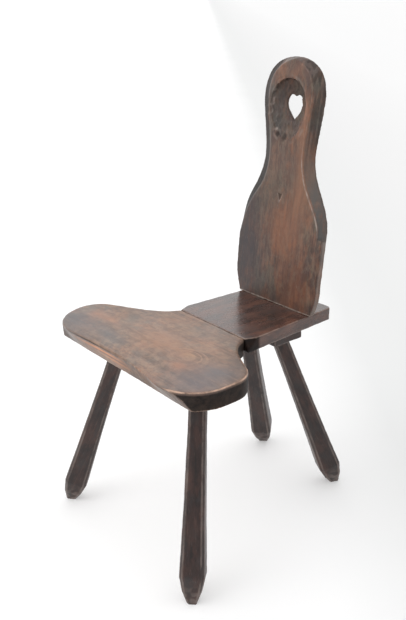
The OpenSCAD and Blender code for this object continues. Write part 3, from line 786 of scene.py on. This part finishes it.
def board_dark(points, normals):
    """Painted shade blackens the walls of the lobes and of the notches. Stain and dirt blacken a line under
    the front arris, and the right part and the left end of the front."""
    aside = points[:, 0]
    depth = seat_top - points[:, 2]
    # Painted shade: the upright walls are blackened, more so deeper down.
    wall = 0.35 * above(depth, 0.8 * MM, 2.0 * MM) + 0.65 * above(depth, 3.5 * MM, 7 * MM)
    wall *= below(np.abs(normals[:, 2]), 0.12, 0.24)
    ahead = above(-normals[:, 1], 0.6, 0.8)
    line = ahead * near(depth, 4.0 * MM, 2.0 * MM) * (0.25 + 0.75 * near(aside, -80 * MM, 60 * MM))
    right_part = ahead * above(aside, -20 * MM, 30 * MM) * above(depth, 1 * MM, 3 * MM)
    left_end = ahead * above(-aside, 130 * MM, 180 * MM) * above(depth, 3 * MM, 6 * MM)
    return np.maximum.reduce([0.97 * wall, 0.9 * line, 0.3 * right_part, 0.45 * left_end])


def board_pale(points, normals):
    """The bevel under the front edge is rubbed along its lower arris, and a little left of its middle."""
    depth = seat_top - points[:, 2]
    bevel = above(-normals[:, 2], 0.2, 0.3) * above(-normals[:, 1], 0.5, 0.7)
    band = above(depth, 5 * MM, 8 * MM) * below(depth, 19 * MM, 26 * MM)
    band *= near(points[:, 0], -65 * MM, 85 * MM)
    lower = above(depth, 33 * MM, 35.5 * MM)
    return bevel * np.maximum(0.12 * band, 0.35 * lower)


def plank_quiet(points, normals):
    """The edges of the cut front corners aren't rubbed, but for the top arris."""
    return below(points[:, 1] - seam_y, *CORNER_END) * above(seat_top - points[:, 2], 1.5 * MM, 3.5 * MM)


def plank_dark(points, normals):
    """The cut front corners are blackened by painted shade."""
    behind = points[:, 1] - seam_y
    # Painted shade on the upright faces of the cut front corners.
    corner = above(np.abs(points[:, 0] - middle_x) + 0.35 * behind, 86 * MM, 93 * MM)
    upright = below(normals[:, 2], 0.6, 0.85)
    return 0.95 * corner * below(behind, *CORNER_END) * upright


def foot_pale(points, normals):
    """The stain is worn thin round the tips of the feet."""
    return 0.6 * below(points[:, 2], 8 * MM, 46 * MM) * above(ripple(points, 14 * MM, 8), 0.2, 0.8)


# Materials.

back_wood = wood(
    "back_wood", tones=((0.036, 0.019, 0.013), (0.112, 0.052, 0.033), (0.235, 0.117, 0.072)),
    ring=5.5 * MM, heart=(0.02, 0.09), wear_and_highlight=(0.38, 0.31, 0.27), black=(0.02, 0.017, 0.0165),
    dust=(0.08, 0.078, 0.075), gloss=0.38, sheen=0.38, coat=0.11, wear_and_highlight_most=0.75,
    figure_depth=0.16, streak_depth=0.2, mottle_depth=0.48, streaks_across=190.0,
    clouds=(((0.1, 0.085, 0.06), 30 * MM, 0.6), ((0.24, 0.085, 0.036), 28 * MM, 0.55),
            ((0.04, 0.028, 0.03), 24 * MM, 0.6), ((0.14, 0.11, 0.08), 9 * MM, 0.4),
            ((0.04, 0.022, 0.017), 7 * MM, 0.5)),
    stains=(((-0.09, 0.0, 0.08), (0.044, 0.02, 0.14), (0.037, 0.032, 0.037), 0.95),
            ((-0.03, 0.0, 0.02), (0.06, 0.02, 0.03), (0.05, 0.036, 0.034), 0.35),
            ((0.0, 0.0, 0.15), (0.035, 0.02, 0.05), (0.25, 0.09, 0.036), 0.65),
            ((0.04, 0.0, 0.2), (0.02, 0.02, 0.08), (0.25, 0.1, 0.048), 0.65),
            ((0.05, 0.0, 0.05), (0.035, 0.02, 0.06), (0.18, 0.062, 0.03), 0.55),
            ((-0.04, 0.0, 0.22), (0.03, 0.02, 0.05), (0.09, 0.076, 0.055), 0.5),
            ((0.0, 0.0, 0.28), (0.05, 0.02, 0.04), (0.15, 0.088, 0.062), 0.5),
            ((0.045, 0.0, 0.33), (0.011, 0.012, 0.08), (0.26, 0.115, 0.06), 0.6),
            ((0.06, 0.0, 0.25), (0.02, 0.02, 0.06), (0.24, 0.12, 0.065), 0.5),
            ((0.06, 0.026, 0.07), (0.2, 0.013, 0.2), (0.32, 0.22, 0.165), 0.8),
            ((0.0, 0.0, 0.455), (0.05, 0.02, 0.02), (0.17, 0.08, 0.05), 0.5),
            ((0.1, 0.0, 0.012), (0.003, 0.03, 0.018), (0.018, 0.012, 0.01), 0.85)))
seat_wood = wood(
    "seat_wood", tones=((0.115, 0.07, 0.051), (0.21, 0.128, 0.088), (0.34, 0.205, 0.137)),
    ring=7 * MM, heart=(-0.1, -0.16), wear_and_highlight=(0.68, 0.44, 0.32), black=(0.006, 0.006, 0.0065),
    gloss=0.34, sheen=0.32, coat=0.1, wear_and_highlight_most=0.9,
    figure_depth=0.2, streak_depth=0.22, mottle_depth=0.34, cloud_run=0.8, streaks_across=260.0,
    clouds=(((0.175, 0.155, 0.13), 62 * MM, 0.6), ((0.34, 0.17, 0.1), 48 * MM, 0.6),
            ((0.13, 0.105, 0.105), 40 * MM, 0.3), ((0.35, 0.225, 0.15), 16 * MM, 0.42),
            ((0.1, 0.066, 0.054), 11 * MM, 0.36)),
    knots=((-0.137, 0.085, 0.026, 4.5),),
    stains=(((-0.133, 0.0, 0.087), (0.009, 0.03, 0.016), (0.4, 0.25, 0.13), 0.45),
            ((-0.2, 0.0, -0.18), (0.04, 0.03, 0.06), (0.12, 0.123, 0.135), 0.85),
            ((-0.155, 0.0, -0.177), (0.016, 0.03, 0.02), (0.38, 0.175, 0.1), 0.6),
            ((-0.148, 0.0, -0.132), (0.011, 0.03, 0.024), (0.38, 0.18, 0.1), 0.75),
            ((-0.191, 0.0, -0.087), (0.018, 0.03, 0.034), (0.13, 0.132, 0.138), 0.6),
            ((-0.105, 0.0, -0.12), (0.02, 0.03, 0.03), (0.14, 0.105, 0.085), 0.6),
            ((-0.175, 0.0, 0.105), (0.012, 0.03, 0.022), (0.4, 0.18, 0.1), 0.75),
            ((-0.142, 0.0, 0.16), (0.03, 0.03, 0.03), (0.115, 0.118, 0.128), 0.8),
            ((-0.13, 0.0, 0.02), (0.045, 0.03, 0.09), (0.34, 0.18, 0.108), 0.65),
            ((-0.05, 0.0, 0.0), (0.025, 0.03, 0.08), (0.18, 0.14, 0.11), 0.35),
            ((-0.19, 0.0, 0.17), (0.045, 0.03, 0.06), (0.125, 0.105, 0.112), 0.8),
            ((-0.09, 0.0, 0.17), (0.025, 0.03, 0.045), (0.1, 0.086, 0.08), 0.7),
            ((-0.215, -0.02, -0.17), (0.04, 0.018, 0.06), (0.085, 0.055, 0.042), 0.9),
            ((-0.222, -0.012, -0.06), (0.03, 0.003, 0.06), (0.62, 0.2, 0.05), 1.0),
            ((-0.222, -0.02, -0.02), (0.03, 0.0025, 0.05), (0.5, 0.21, 0.08), 1.0),
            ((-0.222, -0.0155, -0.04), (0.03, 0.0018, 0.07), (0.06, 0.03, 0.02), 0.9)))
plank_wood = wood(
    "plank_wood", tones=((0.03, 0.015, 0.012), (0.08, 0.036, 0.026), (0.15, 0.07, 0.046)),
    ring=6 * MM, heart=(0.03, -0.1), wear_and_highlight=(0.36, 0.25, 0.2), black=(0.008, 0.007, 0.007),
    gloss=0.24, gloss_spread=0.05, coat=0.35, wear_and_highlight_most=0.6,
    figure_depth=0.1, streak_depth=0.16, mottle_depth=0.5,
    clouds=(((0.14, 0.055, 0.034), 30 * MM, 0.5), ((0.045, 0.036, 0.034), 28 * MM, 0.5)))
# The legs' light arris lines are partly rubbed bare wood and partly painted highlights for the reflection
# along them.
leg_wood = wood(
    "leg_wood", tones=((0.013, 0.0075, 0.007), (0.034, 0.0165, 0.0135), (0.075, 0.037, 0.029)),
    ring=5 * MM, heart=(0.05, 0.06), wear_and_highlight=(0.2, 0.155, 0.135), black=(0.008, 0.006, 0.006),
    gloss=0.4, sheen=0.42, coat=0.1, wear_and_highlight_most=0.7, wear_and_highlight_reach=(0.35, 1.0),
    figure_depth=0.12, streak_depth=0.2, mottle_depth=0.44,
    clouds=(((0.07, 0.03, 0.022), 22 * MM, 0.5), ((0.03, 0.027, 0.027), 20 * MM, 0.5)))
peg_wood = wood(
    "peg_wood", tones=((0.05, 0.03, 0.022), (0.1, 0.062, 0.043), (0.17, 0.11, 0.075)),
    ring=3 * MM, heart=(0.0, 0.02), wear_and_highlight=(0.2, 0.13, 0.09), black=(0.02, 0.013, 0.01),
    gloss=0.4, own_grain=False)


# Pieces. Those that are hidden in the joints keep their CAD form.

LEGS = ("leg_front_left", "leg_front_right", "leg_rear_left", "leg_rear_right")
HIDDEN = ("tongue_pegs", "batten_pegs", "front_leg_wedges", "rear_leg_wedges",
          "splat_key_left", "splat_key_right")

worked("seat_front_board", "front_board", seat_wood, board_axes,
       quad=1.7 * MM, arris=3.2 * MM, rounding=7, plane=0.35 * MM, plane_length=80 * MM, seed=11,
       dark=board_dark, pale=board_pale, quiet=board_quiet)
worked("seat_rear_plank", "rear_plank", plank_wood, plank_axes,
       quad=1.6 * MM, plane=0.2 * MM, plane_length=90 * MM, seed=21, dark=plank_dark, quiet=plank_quiet)
worked("leg_batten", "batten", leg_wood, board_axes, seed=31)
for number, leg in enumerate(LEGS):
    worked(leg, leg + "_worn", leg_wood, leg_axes(leg, number),
           quad=1.4 * MM, arris=3.0 * MM, rounding=3, plane=0.5 * MM, plane_length=45 * MM,
           seed=41 + 10 * number, pale=foot_pale)
worked("back_splat", "back_rest", back_wood, splat_axes,
       quad=1.4 * MM, arris=2.4 * MM, plane=0.3 * MM, seed=91, carve=carve_back,
       dark=back_dark, pale=back_pale, dusty=back_dusty, quiet=back_quiet)
for node in HIDDEN:
    nodes[node].data.materials.clear()
    nodes[node].data.materials.append(peg_wood)


# Studio: a pale floor, which glows faintly and is painted darker to the stool's right and behind it, white
# walls as a soft light, dimmer behind the camera, and one broad lamp.

FLOOR_HALF = 40.0
FLOOR_GLOW = 0.3

# The floor's colour, painted darker from the stool outwards, behind it and to its right, stands for the
# light falling off: painted shade in parts of FLOOR_DIM_REACH metres, with soft clouds of up to
# FLOOR_CLOUDS.
FLOOR_DIM_WAY = (0.63, 0.77, 0.0)
FLOOR_DIM_REACH = 2.0
FLOOR_CLOUDS = 0.1
FLOOR_SHADE_TONES = ((0.0, (0.72, 0.72, 0.72)), (0.12, (0.66, 0.66, 0.66)), (0.24, (0.49, 0.495, 0.493)),
               (0.32, (0.475, 0.48, 0.478)), (0.5, (0.5, 0.5, 0.5)), (1.0, (0.55, 0.55, 0.55)))

LAMP_PLACE = Vector((-0.7, -2.4, 2.6))
LAMP_AIM = Vector((0.0, 0.0, 0.35))
LAMP_SIZE = 2.2
LAMP_POWER = 14.0

# The walls are brightest towards BRIGHT_SIDE. WALL_SPAN says where, from the side opposite it at 0 to it
# at 1, they stop being dim and where they are full.
BRIGHT_SIDE = Vector((-0.72, 0.1, 0.5)).normalized()
WALL_SPAN = (0.2, 0.75)
WALL_DIM = (0.27, 0.27, 0.275, 1.0)
WALL_FULL = (1.0, 1.0, 1.0, 1.0)
WALL_STRENGTH = 1.35


def add_floor():
    mesh = bpy.data.meshes.new("floor")
    form = bmesh.new()
    bmesh.ops.create_grid(form, x_segments=8, y_segments=8, size=FLOOR_HALF)
    form.to_mesh(mesh)
    form.free()
    floor = bpy.data.objects.new("floor", mesh)
    bpy.context.scene.collection.objects.link(floor)
    tree = Tree("floor_paper")
    place = tree.node("ShaderNodeTexCoord").outputs["Object"]
    cloud = tree.math("MULTIPLY", tree.noise(place, scale=1.5, detail=3.0), FLOOR_CLOUDS)
    # Painted shade: the floor's colour darkens along FLOOR_DIM_WAY.
    side = tree.math("ADD", tree.vector("DOT_PRODUCT", place, FLOOR_DIM_WAY, out="Value"), cloud)
    dim = tree.math("MULTIPLY", side, 1.0 / FLOOR_DIM_REACH, clamp=True)
    shader = tree.node("ShaderNodeBsdfPrincipled")
    tree.put(shader, "Base Color", tree.ramp(dim, FLOOR_SHADE_TONES))
    shader.inputs["Emission Color"].default_value = (1.0, 1.0, 1.0, 1.0)
    shader.inputs["Emission Strength"].default_value = FLOOR_GLOW
    shader.inputs["Roughness"].default_value = 0.7
    shader.inputs["Specular IOR Level"].default_value = 0.2
    out = tree.node("ShaderNodeOutputMaterial")
    tree.links.new(shader.outputs[0], out.inputs["Surface"])
    mesh.materials.append(tree.material)


def add_lights():
    world = bpy.data.worlds.new("studio")
    bpy.context.scene.world = world
    world.use_nodes = True
    parts, links = world.node_tree.nodes, world.node_tree.links
    parts.clear()
    way = parts.new("ShaderNodeTexCoord").outputs["Generated"]
    facing = parts.new("ShaderNodeVectorMath")
    facing.operation = "DOT_PRODUCT"
    facing.inputs[1].default_value = BRIGHT_SIDE
    ramp = parts.new("ShaderNodeValToRGB")
    span = parts.new("ShaderNodeMapRange")
    span.inputs["From Min"].default_value = -1.0
    span.inputs["From Max"].default_value = 1.0
    for point, place, tone in zip(ramp.color_ramp.elements, WALL_SPAN, (WALL_DIM, WALL_FULL)):
        point.position = place
        point.color = tone
    light = parts.new("ShaderNodeBackground")
    light.inputs["Strength"].default_value = WALL_STRENGTH
    out = parts.new("ShaderNodeOutputWorld")
    links.new(way, facing.inputs[0])
    links.new(facing.outputs["Value"], span.inputs["Value"])
    links.new(span.outputs[0], ramp.inputs["Fac"])
    links.new(ramp.outputs["Color"], light.inputs["Color"])
    links.new(light.outputs[0], out.inputs["Surface"])

    lamp = bpy.data.lights.new("broad_lamp", "AREA")
    lamp.shape = "DISK"
    lamp.size = LAMP_SIZE
    lamp.energy = LAMP_POWER
    holder = bpy.data.objects.new("broad_lamp", lamp)
    holder.location = LAMP_PLACE
    holder.rotation_mode = "QUATERNION"
    holder.rotation_quaternion = (LAMP_AIM - LAMP_PLACE).to_track_quat("-Z", "Y")
    bpy.context.scene.collection.objects.link(holder)


add_camera()
add_floor()
add_lights()
bpy.context.scene.view_settings.view_transform = "Standard"
